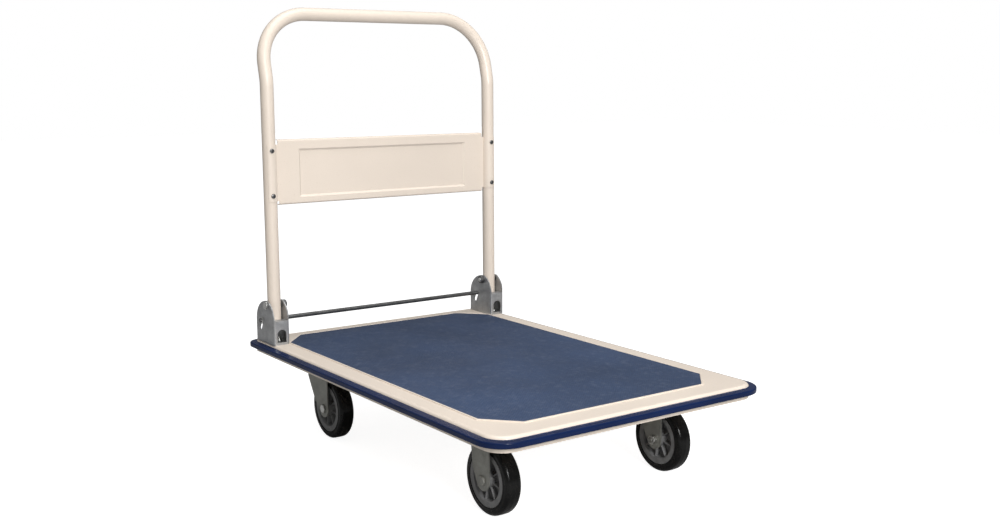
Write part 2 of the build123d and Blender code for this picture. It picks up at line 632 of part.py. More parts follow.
# ---- wheels, drawn about the middle of the wheel
def tyre():
    ring = Pos(0, (WHEEL_RADIUS + HUB_RADIUS) / 2) * Rectangle(TREAD_WIDTH, WHEEL_RADIUS - HUB_RADIUS)
    ring = fillet(ring.vertices().group_by(Axis.Y)[-1], TREAD_SHOULDER)
    return Rot(0, 0, 90) * revolve(ring, Axis.X)


def hub():
    half = HUB_WIDTH / 2
    boss_length = FORK_GAP - 2 * HUB_SIDE_GAP
    body = sleeve((0, -half, 0), (0, 1, 0), HUB_RADIUS, RIM_RADIUS, HUB_WIDTH)
    body += rod((0, -HUB_WEB / 2, 0), (0, 1, 0), (HUB_RADIUS + RIM_RADIUS) / 2, HUB_WEB)
    body += rod((0, -boss_length / 2, 0), (0, 1, 0), HUB_BOSS_RADIUS, boss_length)
    rib_length = (HUB_RADIUS + RIM_RADIUS) / 2
    rib = block((0, rib_length), (-RIB_WIDTH / 2, RIB_WIDTH / 2), (-RIB_THICKNESS / 2, RIB_THICKNESS / 2))
    for index in range(HUB_RIBS):
        body += Rot(0, 360 * index / HUB_RIBS, 0) * rib
    return body - rod((0, -FORK_GAP / 2, 0), (0, 1, 0), BEARING_RADIUS, FORK_GAP)


def bearing():
    length = FORK_GAP - 2 * HUB_SIDE_GAP
    return sleeve((0, -length / 2, 0), (0, 1, 0), BEARING_RADIUS, BEARING_BORE, length)


def axle_sleeve():
    return sleeve((0, -FORK_GAP / 2, 0), (0, 1, 0), AXLE_SLEEVE_RADIUS, AXLE_SLEEVE_BORE, FORK_GAP)


def axle_bolt():
    """Axle of a right-hand wheel, with its head on the outer side."""
    length = FORK_GAP + 2 * FORK_SHEET + M10[3] + THREAD_PAST_NUT
    return bolt((0, -FORK_GAP / 2 - FORK_SHEET, 0), (0, 1, 0), M10, length)


def axle_nut():
    return nut((0, FORK_GAP / 2 + FORK_SHEET, 0), (0, 1, 0), M10)


# ---- casters
def caster_plate(x_middle, y_middle):
    outline = RectangleRounded(PLATE_LENGTH, PLATE_WIDTH, PLATE_CORNER_RADIUS)
    plate = Pos(x_middle, y_middle, PLATE_UNDERSIDE) * extrude(outline, PLATE_SHEET)
    for x, y in mount_places(x_middle, y_middle):
        plate -= rod((x, y, PLATE_UNDERSIDE), (0, 0, 1), M8[0] + HOLE_CLEARANCE, PLATE_SHEET)
    return plate


def leg_outline(front_top, rear_points):
    """Fork leg about the axle in X and Z: a round tip that runs into straight front and rear edges."""
    near_x, near_z = rear_points[-1]
    distance = math.hypot(near_x, near_z)
    angle = math.atan2(near_z, near_x) + math.acos(FORK_TIP_RADIUS / distance)
    touch = (FORK_TIP_RADIUS * math.cos(angle), FORK_TIP_RADIUS * math.sin(angle))
    leg = Polygon((0, 0), (FORK_TIP_RADIUS, 0), front_top, *rear_points, touch, align=None)
    return leg + Circle(FORK_TIP_RADIUS)


def bent_fork(outline, top, crown_sheet):
    """Sheet bent into an upside-down U with two legs of the given outline, about the axle."""
    width = FORK_GAP + 2 * FORK_SHEET
    fork = upright_profile(outline, 0, width)
    long_edges = fork.edges().filter_by(Axis.X).group_by(Axis.Z)[-1]
    fork = fillet(long_edges, 2 * FORK_SHEET)
    along = (-WHEEL_DIAMETER, WHEEL_DIAMETER)
    below = block(along, (-FORK_GAP / 2, FORK_GAP / 2), (-WHEEL_RADIUS, top - crown_sheet))
    fork -= fillet(below.edges().filter_by(Axis.X).group_by(Axis.Z)[-1], FORK_SHEET)
    return fork - rod((0, -width / 2, 0), (0, 1, 0), M10[0] + HOLE_CLEARANCE, width)


def rigid_fork():
    """Fixed caster body: mounting plate and fork in one weldment, right-hand side."""
    top = PLATE_UNDERSIDE - WHEEL_RADIUS
    front = RIGID_LEG_TOP - RIGID_PLATE_OFFSET
    rear = RIGID_LEG_TOP + RIGID_PLATE_OFFSET
    outline = leg_outline((front, top), [(-rear, top), (RIGID_LEG_TAPER - rear, FORK_TIP_RADIUS)])
    fork = Pos(FRONT_AXLE_X, -FRONT_WHEEL_Y, WHEEL_RADIUS) * bent_fork(outline, top, FORK_SHEET)
    return fork + caster_plate(FRONT_PLATE_X, -FRONT_WHEEL_Y)


def swivel_plate():
    """Swivel caster's mounting plate with its pressed upper race, right-hand side."""
    plate = caster_plate(SWIVEL_X, -REAR_WHEEL_Y)
    dish = rod((SWIVEL_X, -REAR_WHEEL_Y, PLATE_UNDERSIDE), (0, 0, -1), DISH_RADIUS, DISH_DEPTH)
    plate += fillet(dish.edges().group_by(Axis.Z)[0], DISH_DEPTH / 2)
    pin = rod((SWIVEL_X, -REAR_WHEEL_Y, CROWN_TOP), (0, 0, 1), KINGPIN_RADIUS, CASTER_HEIGHT)
    return plate - pin


def swivel_bearing():
    """Ring of balls in its cage, between the plate and the fork's crown."""
    low = CROWN_TOP + RACE_GAP
    start = (SWIVEL_X, -REAR_WHEEL_Y, low)
    height = PLATE_UNDERSIDE - DISH_DEPTH - low
    return sleeve(start, (0, 0, 1), RACE_OUTER_RADIUS, RACE_INNER_RADIUS, height)


def kingpin():
    """Swivel axle, riveted flush in the plate, with its head under the crown."""
    under = CROWN_TOP - CROWN_SHEET - RACE_GAP
    pin = rod((SWIVEL_X, -REAR_WHEEL_Y, under), (0, 0, 1), KINGPIN_RADIUS, CASTER_HEIGHT - under)
    return pin + rod((SWIVEL_X, -REAR_WHEEL_Y, under), (0, 0, -1), KINGPIN_HEAD_RADIUS, KINGPIN_HEAD)


def swivel_fork():
    top = CROWN_TOP - WHEEL_RADIUS
    rear = -SWIVEL_OFFSET - SWIVEL_LEG_REAR
    low_behind, low_above = SWIVEL_LEG_LOW
    rear_points = [
        (rear, top),
        (rear + SWIVEL_LEG_LEAN, top - SWIVEL_LEG_STRAIGHT),
        (-SWIVEL_OFFSET - low_behind, low_above),
    ]
    outline = leg_outline((SWIVEL_LEG_FRONT - SWIVEL_OFFSET, top), rear_points)
    fork = bent_fork(outline, top, CROWN_SHEET)
    crown = rod((-SWIVEL_OFFSET, 0, top - CROWN_SHEET), (0, 0, 1), CROWN_RADIUS, CROWN_SHEET)
    fork += crown
    fork -= rod((-SWIVEL_OFFSET, 0, 0), (0, 0, 1), KINGPIN_RADIUS + FIT, 2 * top)
    return Pos(REAR_AXLE_X, -REAR_WHEEL_Y, WHEEL_RADIUS) * fork


def caster_bolts():
    bolts = []
    length = PLATE_SHEET + CHANNEL_SHEET + M8[3] + THREAD_PAST_NUT
    for x_middle, y_middle in ((FRONT_PLATE_X, -FRONT_WHEEL_Y), (SWIVEL_X, -REAR_WHEEL_Y)):
        for x, y in mount_places(x_middle, y_middle):
            bolts.append(bolt((x, y, PLATE_UNDERSIDE), (0, 0, 1), M8, length))
    return both_sides(Compound(children=bolts))


def caster_nuts():
    nuts = []
    seat = CASTER_HEIGHT + CHANNEL_SHEET
    for x_middle, y_middle in ((FRONT_PLATE_X, -FRONT_WHEEL_Y), (SWIVEL_X, -REAR_WHEEL_Y)):
        for x, y in mount_places(x_middle, y_middle):
            nuts.append(nut((x, y, seat), (0, 0, 1), M8))
    return both_sides(Compound(children=nuts))


def build_nodes():
    """Every piece under the name of its file."""
    front = Pos(FRONT_AXLE_X, -FRONT_WHEEL_Y, WHEEL_RADIUS)
    rear = Pos(REAR_AXLE_X, -REAR_WHEEL_Y, WHEEL_RADIUS)
    nodes = {
        "deck_pan": deck_pan(),
        "deck_mat": deck_mat(),
        "bumper_strip": bumper_strip(),
        "front_cross_channel": cross_channel(FRONT_PLATE_X, FRONT_WHEEL_Y),
        "rear_cross_channel": cross_channel(SWIVEL_X, REAR_WHEEL_Y),
        "bracket_bolts": bracket_bolts(),
        "bracket_nuts": bracket_nuts(),
        "pivot_bolts": pivot_bolts(),
        "pivot_nuts": pivot_nuts(),
        "pivot_bushes": pivot_bushes(),
        "lock_bar": lock_bar(),
        "lock_bar_clips": lock_bar_clips(),
        "handle_tube": handle_tube(),
        "handle_end_plugs": handle_end_plugs(),
        "handle_panel": handle_panel(),
        "panel_screws": panel_screws(),
        "caster_mount_bolts": caster_bolts(),
        "caster_mount_nuts": caster_nuts(),
        "front_axle_bolts": both_sides(front * axle_bolt()),
        "front_axle_nuts": both_sides(front * axle_nut()),
        "front_axle_sleeves": both_sides(front * axle_sleeve()),
    }
    one_each_side = {
        "side_rail": side_rail(-RAIL_Y),
        "bracket": right_bracket(),
        "lock_spring": right_lock_spring(),
        "front_fork": rigid_fork(),
        "front_tyre": front * tyre(),
        "front_hub": front * hub(),
        "front_bearing": front * bearing(),
        "swivel_plate": swivel_plate(),
        "swivel_bearing": swivel_bearing(),
        "kingpin": kingpin(),
        "swivel_fork": swivel_fork(),
        "rear_axle_bolt": rear * axle_bolt(),
        "rear_axle_nut": rear * axle_nut(),
        "rear_axle_sleeve": rear * axle_sleeve(),
        "rear_tyre": rear * tyre(),
        "rear_hub": rear * hub(),
        "rear_bearing": rear * bearing(),
    }
    for name, shape in one_each_side.items():
        nodes["right_" + name] = shape
        nodes["left_" + name] = left_of(shape)
    return nodes


os.makedirs("parts", exist_ok=True)
for node_name, node_shape in build_nodes().items():
    export_step(node_shape, os.path.join("parts", node_name + ".step"))
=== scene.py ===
import json
import math

import bmesh
import bpy
from mathutils import Matrix, Vector


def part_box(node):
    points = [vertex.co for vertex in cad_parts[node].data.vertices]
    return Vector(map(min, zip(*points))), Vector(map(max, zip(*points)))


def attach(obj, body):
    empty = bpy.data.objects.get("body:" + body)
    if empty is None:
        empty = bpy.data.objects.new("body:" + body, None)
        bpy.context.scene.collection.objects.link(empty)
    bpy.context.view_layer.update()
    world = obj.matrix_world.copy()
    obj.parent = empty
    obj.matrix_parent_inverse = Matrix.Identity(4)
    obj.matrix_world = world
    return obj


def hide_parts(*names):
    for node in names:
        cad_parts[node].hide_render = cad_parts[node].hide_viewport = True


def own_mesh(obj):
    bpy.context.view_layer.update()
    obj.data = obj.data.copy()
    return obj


# Looks of the folding platform cart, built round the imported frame. Metres, in the frame's axes.
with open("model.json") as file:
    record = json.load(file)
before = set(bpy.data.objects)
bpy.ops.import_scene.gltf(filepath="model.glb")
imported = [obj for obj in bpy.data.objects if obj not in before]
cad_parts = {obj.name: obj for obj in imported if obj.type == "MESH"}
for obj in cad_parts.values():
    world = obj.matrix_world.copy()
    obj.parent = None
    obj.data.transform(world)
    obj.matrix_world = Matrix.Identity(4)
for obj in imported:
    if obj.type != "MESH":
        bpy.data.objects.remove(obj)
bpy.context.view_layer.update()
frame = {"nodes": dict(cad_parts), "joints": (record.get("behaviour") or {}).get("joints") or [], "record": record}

MM = 0.001
TINY = 1e-7
SIDES = ("right", "left")
X, Y, Z = Vector((1, 0, 0)), Vector((0, 1, 0)), Vector((0, 0, 1))

# ---- sizes that the frame's boxes don't give
MAT_CUT = (55 * MM, 51 * MM)
MAT_CORNER = 2.5 * MM
MAT_EDGE = 0.5 * MM
M8_RADIUS, M8_PITCH, M8_HEAD = 4 * MM, 1.25 * MM, 5.3 * MM
M10_RADIUS, M10_PITCH, M10_HEAD = 5 * MM, 1.5 * MM, 4 * MM
NUT_CLEARANCE = 0.1 * MM
LOCK_BAR_RADIUS = 4.5 * MM
SPRING_WIRE = 0.7 * MM
SPRING_TURNS = 7.5
SPRING_DEAD_TURNS = 0.9           # closed turns at each end
SPRING_TURN_STEPS = 24
WIRE_SIDES = 10
TYRE_INNER = 48 * MM
TYRE_FOOT_ROUND = 0.6 * MM
TREAD_SHOULDER = 8 * MM
TREAD_CROWN = 0.35 * MM
SEAM_HALF_WIDTH = 0.6 * MM
SEAM_FOOT = 0.12 * MM
RIM_INNER = 36 * MM
HUB_WEB_HALF = 2.5 * MM
HUB_ROUND = 1.5 * MM
BOSS_RADIUS = 14 * MM
HUB_RIBS = 8
RIB_THICKNESS = 2.2 * MM
BEARING_WALL = 2.9 * MM
SCREW_HEAD = 2.5 * MM
RACE_INNER = 20 * MM
RACE_LIP = 1.5 * MM
PLAIN_SHANK_SHARE = 0.78          # of an axle or pivot bolt's length
FACETS = 72                       # sides of a nut's or head's round parts

# ---- studio
FLOOR_HALF_SIZE = 12.0
FLOOR_CAMERA_BOOST = 0.9
SKY_LOW, SKY_HIGH = 0.05, 0.46
KEY_WATTS, OVERHEAD_WATTS = 98, 47
CAMERA_PLACE = (1.8664, -1.3132, 0.7359)
CAMERA_DOWN, CAMERA_TURN = 8.956, 54.19   # degrees
CAMERA_LENS = 42.84


# ---- shader helpers
class Paintbox:
    """One material and its node tree, with short calls for the nodes that the finishes share."""

    def __init__(self, name, **settings):
        self.material = bpy.data.materials.new(name + "_look")
        self.material.use_nodes = True
        self.tree = self.material.node_tree
        self.shader = self.tree.nodes["Principled BSDF"]
        self.place = self.tree.nodes.new("ShaderNodeTexCoord").outputs["Object"]
        for key, value in settings.items():
            self.shader.inputs[key.replace("_", " ")].default_value = value

    def stretched(self, scale):
        """Object coordinates scaled unevenly, for grain that runs one way."""
        mapping = self.tree.nodes.new("ShaderNodeMapping")
        mapping.inputs["Scale"].default_value = scale
        self.tree.links.new(self.place, mapping.inputs["Vector"])
        return mapping.outputs["Vector"]

    def noise(self, scale, detail=2.0, vector=None):
        node = self.tree.nodes.new("ShaderNodeTexNoise")
        node.inputs["Scale"].default_value = scale
        node.inputs["Detail"].default_value = detail
        self.tree.links.new(vector or self.place, node.inputs["Vector"])
        return node.outputs["Fac"]

    def cells(self, scale, randomness=1.0, output="Distance", vector=None):
        node = self.tree.nodes.new("ShaderNodeTexVoronoi")
        node.inputs["Scale"].default_value = scale
        node.inputs["Randomness"].default_value = randomness
        self.tree.links.new(vector or self.place, node.inputs["Vector"])
        return node.outputs[output]

    def ramp(self, factor, *stops):
        """Colour ramp through (position, colour) stops."""
        node = self.tree.nodes.new("ShaderNodeValToRGB")
        elements = node.color_ramp.elements
        while len(elements) < len(stops):
            elements.new(0.5)
        for element, (position, colour) in zip(elements, stops):
            element.position = position
            element.color = (*colour, 1)
        self.tree.links.new(factor, node.inputs["Fac"])
        return node.outputs["Color"]

    def mix(self, factor, first, second, blend="MIX"):
        """Mix two colours; the factor is a socket or a number."""
        node = self.tree.nodes.new("ShaderNodeMix")
        node.data_type = "RGBA"
        node.blend_type = blend
        if isinstance(factor, (int, float)):
            node.inputs["Factor"].default_value = factor
        else:
            self.tree.links.new(factor, node.inputs["Factor"])
        self.tree.links.new(first, node.inputs["A"])
        self.tree.links.new(second, node.inputs["B"])
        return node.outputs["Result"]

    def spread(self, factor, low, high, start=0.0, end=1.0):
        """Map a factor onto a range of numbers."""
        node = self.tree.nodes.new("ShaderNodeMapRange")
        node.inputs["From Min"].default_value = start
        node.inputs["From Max"].default_value = end
        node.inputs["To Min"].default_value = low
        node.inputs["To Max"].default_value = high
        self.tree.links.new(factor, node.inputs["Value"])
        return node.outputs["Result"]

    def colour(self, socket):
        self.tree.links.new(socket, self.shader.inputs["Base Color"])

    def roughness(self, socket):
        self.tree.links.new(socket, self.shader.inputs["Roughness"])

    def bump(self, *layers):
        """Stack of (height, depth in metres) layers."""
        normal = None
        for height, depth in layers:
            node = self.tree.nodes.new("ShaderNodeBump")
            node.inputs["Distance"].default_value = depth
            self.tree.links.new(height, node.inputs["Height"])
            if normal:
                self.tree.links.new(normal, node.inputs["Normal"])
            normal = node.outputs["Normal"]
        self.tree.links.new(normal, self.shader.inputs["Normal"])


def shade(colour, factor):
    return tuple(min(1.0, part * factor) for part in colour)


# ---- finishes
def cream_paint(name, colour):
    """Powder coat: faint orange peel, slow tone drift and a few dull scuffs."""
    paint = Paintbox(name, Coat_Weight=0.25, Coat_Roughness=0.25)
    drift = paint.ramp(paint.noise(5, 3), (0.3, shade(colour, 0.955)), (0.7, shade(colour, 1.02)))
    specks = paint.ramp(paint.noise(420, 4), (0.30, (0.86, 0.84, 0.80)), (0.36, (1, 1, 1)))
    paint.colour(paint.mix(0.6, drift, specks, "MULTIPLY"))
    scuffs = paint.noise(60, 6, paint.stretched((1, 6, 1)))
    paint.roughness(paint.spread(scuffs, 0.34, 0.52, 0.35, 0.7))
    paint.bump((paint.noise(700, 2), 0.00008), (paint.noise(35, 2), 0.0002))
    return paint.material


def mat_vinyl():
    """Ribbed vinyl mat: close rows of small pips over a cloudy, slightly scuffed ground, with a painted highlight
    on the pip tops and painted shade in the gaps between them.
    """
    colour = (0.037, 0.062, 0.123)
    mat = Paintbox("mat_vinyl", Specular_IOR_Level=0.30)
    pips = mat.cells(190, 0.12)
    clouds = mat.ramp(mat.noise(3.2, 4), (0.32, shade(colour, 0.80)), (0.68, shade(colour, 1.22)))
    # painted light: the colour is lightened on the raised pip tops as a painted highlight and darkened in the
    # hollows between pips as painted shade
    pip_painted_light = mat.ramp(pips, (0.08, (1.45, 1.45, 1.40)), (0.50, (0.55, 0.57, 0.64)))
    clouds_and_pip_light = mat.mix(0.75, clouds, pip_painted_light, "MULTIPLY")
    dust = mat.ramp(mat.noise(95, 5), (0.52, (0.0, 0.0, 0.0)), (0.80, (0.035, 0.036, 0.038)))
    mat.colour(mat.mix(1.0, clouds_and_pip_light, dust, "ADD"))
    mat.roughness(mat.spread(mat.noise(14, 4), 0.48, 0.66, 0.3, 0.7))
    mat.bump((mat.spread(pips, 1, 0), 0.0010), (mat.noise(900, 2), 0.00008))
    return mat.material


def bumper_vinyl():
    """Glossy extruded strip: long draw lines and slow waves."""
    colour = (0.0042, 0.0140, 0.061)
    strip = Paintbox("bumper_vinyl", Specular_IOR_Level=0.12, Coat_Weight=0.06, Coat_Roughness=0.08)
    strip.colour(strip.ramp(strip.noise(9, 3), (0.3, shade(colour, 0.8)), (0.7, shade(colour, 1.25))))
    lines = strip.noise(300, 3, strip.stretched((0.03, 0.03, 4)))
    strip.roughness(strip.spread(lines, 0.20, 0.34, 0.3, 0.7))
    strip.bump((lines, 0.00006), (strip.noise(22, 2), 0.0006))
    return strip.material


def plated_steel(name, colour, rough, metal, grain=(1, 1, 1), spangle=0.0):
    """Plated or drawn steel: blotches, fine grain and scratches; spangle adds zinc crystals."""
    steel = Paintbox(name, Metallic=metal)
    blotches = steel.ramp(steel.noise(38, 5), (0.30, shade(colour, 0.78)), (0.72, shade(colour, 1.16)))
    crystals = steel.ramp(steel.cells(170, 1.0, "Color"), (0.2, (0.75, 0.75, 0.75)), (0.8, (1, 1, 1)))
    steel.colour(steel.mix(spangle, blotches, crystals, "MULTIPLY"))
    fine = steel.noise(650, 4, steel.stretched(grain))
    steel.roughness(steel.spread(fine, rough * 0.8, rough * 1.25, 0.3, 0.7))
    steel.bump((fine, 0.00003), (steel.noise(90, 3), 0.00008))
    return steel.material


def tyre_rubber():
    """Smooth solid rubber: satin skin with a faint mould grain and a little dust."""
    tyre = Paintbox("tyre_rubber", Specular_IOR_Level=0.20)
    dust = tyre.ramp(tyre.noise(55, 5), (0.42, (0.0035, 0.0035, 0.0035)), (0.75, (0.0080, 0.0080, 0.0076)))
    tyre.colour(dust)
    tyre.roughness(tyre.spread(tyre.noise(24, 4), 0.18, 0.32, 0.3, 0.7))
    tyre.bump((tyre.noise(1100, 2), 0.00003), (tyre.noise(60, 3), 0.00012))
    return tyre.material


def moulded_plastic(name, colour, rough):
    """Injection moulding: fine leather-like grain and slow sink marks."""
    plastic = Paintbox(name, Specular_IOR_Level=0.5)
    plastic.colour(plastic.ramp(plastic.noise(70, 4), (0.3, shade(colour, 0.8)), (0.7, shade(colour, 1.2))))
    grain = plastic.cells(1400)
    plastic.roughness(plastic.spread(grain, rough * 0.85, rough * 1.2))
    plastic.bump((grain, 0.00003), (plastic.noise(45, 2), 0.0002))
    return plastic.material


CREAM = (0.785, 0.687, 0.589)
FINISHES = {
    "cream_paint": cream_paint("cream_paint", CREAM),
    # painted shade: the channels under the deck get the deck's cream paint darkened by 6 %
    "channel_paint": cream_paint("channel_paint", shade(CREAM, 0.94)),
    "mat": mat_vinyl(),
    "bumper": bumper_vinyl(),
    "bracket_zinc": plated_steel("bracket_zinc", (0.46, 0.465, 0.47), 0.45, 0.75, spangle=0.45),
    "caster_steel": plated_steel("caster_steel", (0.30, 0.30, 0.275), 0.52, 0.65, spangle=0.25),
    "dark_steel": plated_steel("dark_steel", (0.16, 0.16, 0.16), 0.38, 0.85, grain=(1, 0.02, 1)),
    "bright_steel": plated_steel("bright_steel", (0.66, 0.66, 0.64), 0.28, 1.0, spangle=0.2),
    "spring_steel": plated_steel("spring_steel", (0.48, 0.48, 0.48), 0.30, 1.0),
    "tyre": tyre_rubber(),
    "hub": moulded_plastic("hub_plastic", (0.165, 0.165, 0.166), 0.42),
    "black_plastic": moulded_plastic("black_plastic", (0.022, 0.022, 0.022), 0.45),
}


def finish_cad_nodes():
    """Each CAD node takes the finish of its material slot in the record."""
    for subpart in frame["record"]["subparts"]:
        mesh = frame["nodes"][subpart["node"]].data
        mesh.materials.clear()
        mesh.materials.append(FINISHES[subpart["material_slot"]])


# ---- mesh helpers
def aim(origin, direction):
    """Placement whose local Z runs along a direction."""
    return Matrix.Translation(origin) @ Vector(direction).to_track_quat("Z", "Y").to_matrix().to_4x4()


def rounded(corners, closed=True, steps=5):
    """Outline through (u, v, radius) corners, with an arc at each corner that has a radius."""
    points = []
    last = len(corners) - 1
    for index, (u, v, radius) in enumerate(corners):
        here = Vector((u, v))
        if radius == 0 or (not closed and index in (0, last)):
            points.append(here)
            continue
        before = (Vector(corners[index - 1][:2]) - here).normalized()
        after = (Vector(corners[(index + 1) % len(corners)][:2]) - here).normalized()
        half = before.angle(after) / 2
        middle = here + (before + after).normalized() * radius / math.sin(half)
        reach = radius / math.tan(half)
        start = here + before * reach - middle
        end = here + after * reach - middle
        spokes = [start.slerp(end, step / steps).normalized() for step in range(steps + 1)]
        points += [middle + spoke * radius for spoke in spokes]
    return points


def join_rings(mesh, first, second):
    """Faces between two rings of vertices; either may be a single point."""
    count = max(len(first), len(second))
    for index in range(count):
        after = (index + 1) % count
        corners = [first[index % len(first)], first[after % len(first)]]
        corners += [second[after % len(second)], second[index % len(second)]]
        unique = list(dict.fromkeys(corners))
        if len(unique) > 2:
            mesh.faces.new(unique)


def add_rings(mesh, place, rings, closed=False):
    """Skin rings of local points; a closed skin joins the last ring to the first."""
    made = [[mesh.verts.new(place @ Vector(point)) for point in ring] for ring in rings]
    for first, second in zip(made, made[1:]):
        join_rings(mesh, first, second)
    if closed:
        join_rings(mesh, made[-1], made[0])
    return made


def circle(radius, height, count):
    if radius < TINY:
        return [(0, 0, height)]
    turns = [math.tau * index / count for index in range(count)]
    return [(radius * math.cos(turn), radius * math.sin(turn), height) for turn in turns]


def lathe(mesh, place, outline, closed=False, count=96):
    """Turn an outline of (radius, height) points about the placement's Z."""
    add_rings(mesh, place, [circle(radius, height, count) for radius, height in outline], closed)


def hexagon_ring(across, limit, height, count=FACETS):
    """Hexagon cut back to a circle where the circle is the smaller."""
    ring = []
    for index in range(count):
        turn = math.tau * index / count
        flat = across / 2 / math.cos(turn % (math.pi / 3) - math.pi / 6)
        radius = min(flat, limit)
        ring.append((radius * math.cos(turn), radius * math.sin(turn), height))
    return ring


def add_hexagon(mesh, place, across, height, bore=0.0):
    """Hexagonal head or nut with turned chamfers; a bore makes it a nut."""
    flat = across / 2
    drops = [flat * share for share in (0, 0.03, 0.06, 0.09, 0.13)]
    levels = [(drop, flat * 0.95 + drop * math.sqrt(3)) for drop in drops]
    rings = [[(0, 0, 0)]] if bore == 0 else [circle(bore, 0, FACETS)]
    rings += [hexagon_ring(across, limit, drop) for drop, limit in levels]
    rings += [hexagon_ring(across, limit, height - drop) for drop, limit in reversed(levels)]
    if bore == 0:
        rings += [circle(flat * 0.80, height, FACETS), [(0, 0, height)]]
        add_rings(mesh, place, rings)
        return
    rings += [circle(bore * 1.12, height, FACETS), circle(bore, height - bore * 0.12, FACETS)]
    add_rings(mesh, place, rings, closed=True)


def add_thread(mesh, place, radius, pitch, start, end, count=24):
    """Helically threaded rod from one height to another, with a pointed chamfer at its end."""
    depth = pitch * 0.55
    steps = max(4, round((end - start) / pitch * 6))
    rings = []
    for step in range(steps + 1):
        height = start + (end - start) * step / steps
        ring = []
        for index in range(count):
            turn = math.tau * index / count
            phase = (height / pitch - index / count) % 1
            thread = radius - depth * abs(2 * phase - 1)
            limit = radius - depth + (end - height) * 0.8
            local = min(thread, limit)
            ring.append((local * math.cos(turn), local * math.sin(turn), height))
        rings.append(ring)
    add_rings(mesh, place, [[(0, 0, start)], *rings, [(0, 0, end)]])


def add_bolt(mesh, place, across, head, radius, pitch, length, plain=0.0):
    """Hexagon bolt: head below the placement's origin, shank above it, threaded past its plain part."""
    add_hexagon(mesh, place @ aim((0, 0, 0), -Z), across, head)
    if plain > 0:
        lathe(mesh, place, [(0, 0), (radius, 0), (radius, plain), (0, plain)], count=48)
    add_thread(mesh, place, radius, pitch, plain, length)


def add_piece(name, body, slot, replaced, build, smooth=40):
    """Make a piece by a function that fills a bmesh, and put it on its body in place of CAD nodes."""
    mesh = bmesh.new()
    build(mesh)
    bmesh.ops.recalc_face_normals(mesh, faces=mesh.faces)
    data = bpy.data.meshes.new(name)
    mesh.to_mesh(data)
    mesh.free()
    data.materials.append(FINISHES[slot])
    data.shade_smooth()
    data.set_sharp_from_angle(angle=math.radians(smooth))
    piece = bpy.data.objects.new(name, data)
    bpy.context.scene.collection.objects.link(piece)
    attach(piece, body)
    if replaced:
        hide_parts(*replaced)
    return piece


def solids_of(node):
    """Boxes of a CAD node's separate solids."""
    mesh = bmesh.new()
    mesh.from_mesh(frame["nodes"][node].data)
    bmesh.ops.remove_doubles(mesh, verts=mesh.verts, dist=0.01 * MM)
    unseen = set(mesh.verts)
    boxes = []
    for first in mesh.verts:
        if first not in unseen:
            continue
        unseen.remove(first)
        reached = [first]
        for vert in reached:
            for edge in vert.link_edges:
                other = edge.other_vert(vert)
                if other in unseen:
                    unseen.remove(other)
                    reached.append(other)
        places = [vert.co for vert in reached]
        low = Vector([min(place[axis] for place in places) for axis in range(3)])
        high = Vector([max(place[axis] for place in places) for axis in range(3)])
        boxes.append((low, high))
    mesh.free()
    return boxes


def middle_of(box):
    return (box[0] + box[1]) / 2


# ---- mat
def build_mat(mesh):
    low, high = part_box("deck_mat")
    cut_x, cut_y = MAT_CUT
    corners = [
        (high.x, high.y - cut_y), (high.x - cut_x, high.y), (low.x + cut_x, high.y), (low.x, high.y - cut_y),
        (low.x, low.y + cut_y), (low.x + cut_x, low.y), (high.x - cut_x, low.y), (high.x, low.y + cut_y),
    ]
    outline = rounded([(x, y, MAT_CORNER) for x, y in corners])
    middle = middle_of((low, high))
    rings = []
    for inset, height in [(0, low.z), (0, high.z - MAT_EDGE)] + [
        (MAT_EDGE * (1 - math.cos(turn)), high.z - MAT_EDGE * (1 - math.sin(turn)))
        for turn in (math.pi / 8, math.pi / 4, math.pi * 3 / 8, math.pi / 2)
    ]:
        shrink_x = 1 - inset / (high.x - middle.x)
        shrink_y = 1 - inset / (high.y - middle.y)
        rings.append([
            (middle.x + (x - middle.x) * shrink_x, middle.y + (y - middle.y) * shrink_y, height)
            for x, y in outline
        ])
    made = add_rings(mesh, Matrix.Identity(4), rings)
    mesh.faces.new(made[0])
    mesh.faces.new(made[-1])


# ---- wheels
def build_tyre(mesh, node):
    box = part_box(node)
    radius = (box[1].z - box[0].z) / 2
    half = (box[1].y - box[0].y) / 2
    bead, groove = TYRE_INNER + 1.5 * MM, TYRE_INNER + 2.2 * MM
    seam_foot = radius - SEAM_FOOT
    corners = [
        (TYRE_INNER, -half, TYRE_FOOT_ROUND), (bead, -half, 0), (groove, 0.5 * MM - half, 0),
        (radius - TREAD_CROWN, -half, TREAD_SHOULDER), (seam_foot, -SEAM_HALF_WIDTH, 0), (radius, 0, 0),
        (seam_foot, SEAM_HALF_WIDTH, 0), (radius - TREAD_CROWN, half, TREAD_SHOULDER),
        (groove, half - 0.5 * MM, 0), (bead, half, 0), (TYRE_INNER, half, TYRE_FOOT_ROUND),
    ]
    lathe(mesh, aim(middle_of(box), Y), rounded(corners, steps=8), closed=True, count=128)


def add_rib(mesh, place, turn, inner, outer, half, thick):
    """Drafted rib of a hub: thin at its edges, thicker at the web, with rounded edges."""
    spin = place @ Matrix.Rotation(turn, 4, "Z")
    edge, root, soft = thick / 2, thick * 0.85, thick * 0.3
    profile = rounded([
        (-edge, -half, soft), (edge, -half, soft), (root, 0, 0),
        (edge, half, soft), (-edge, half, soft), (-root, 0, 0),
    ], steps=3)
    rings = [[(along, across, height) for across, height in profile] for along in (inner, outer)]
    made = add_rings(mesh, spin, rings)
    mesh.faces.new(made[0])
    mesh.faces.new(made[-1])


